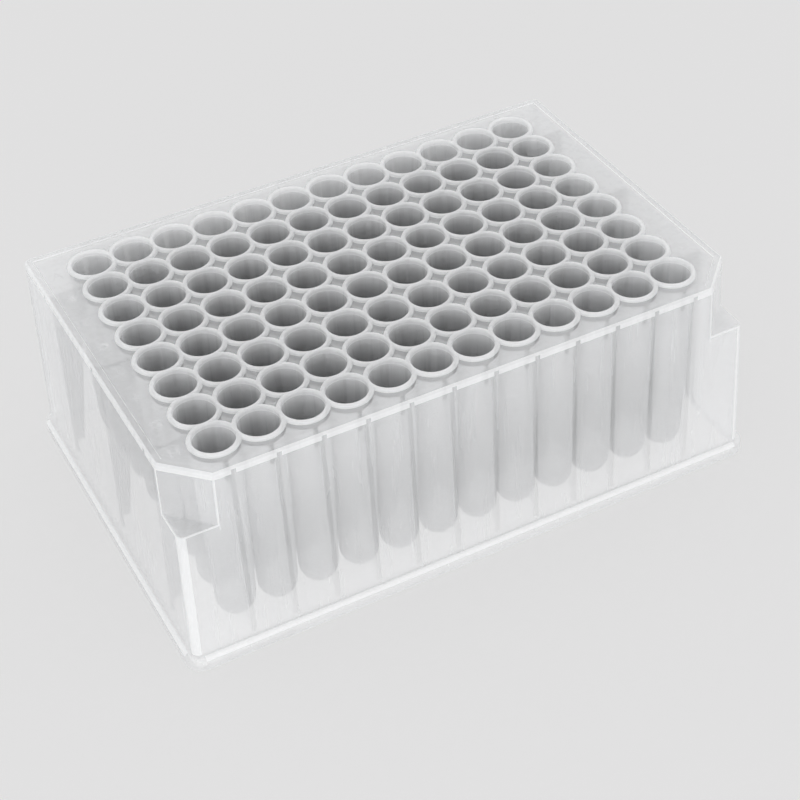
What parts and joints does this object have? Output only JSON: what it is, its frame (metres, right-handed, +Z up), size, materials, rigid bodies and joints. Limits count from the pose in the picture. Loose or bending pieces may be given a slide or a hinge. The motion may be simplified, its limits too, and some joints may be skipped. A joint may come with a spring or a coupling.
{
  "type": "deep well plate",
  "caption": "Deep well plate: round-bottomed wells in a grid, open at the top with raised rims, inside a tall tapered skirt with a base flange and notched front corners.",
  "frame": {"origin": "centre of the footprint, on the table", "axes": "+X along the columns' numbers, 1 to 12; +Y towards row A; +Z up, out of the wells"},
  "size_m": [0.1278, 0.0854, 0.0455],
  "materials": {
    "polypropylene": "natural translucent polypropylene, satin"
  },
  "bodies": {
    "root": {"deep_well_plate": "polypropylene"}
  },
  "joints": []
}
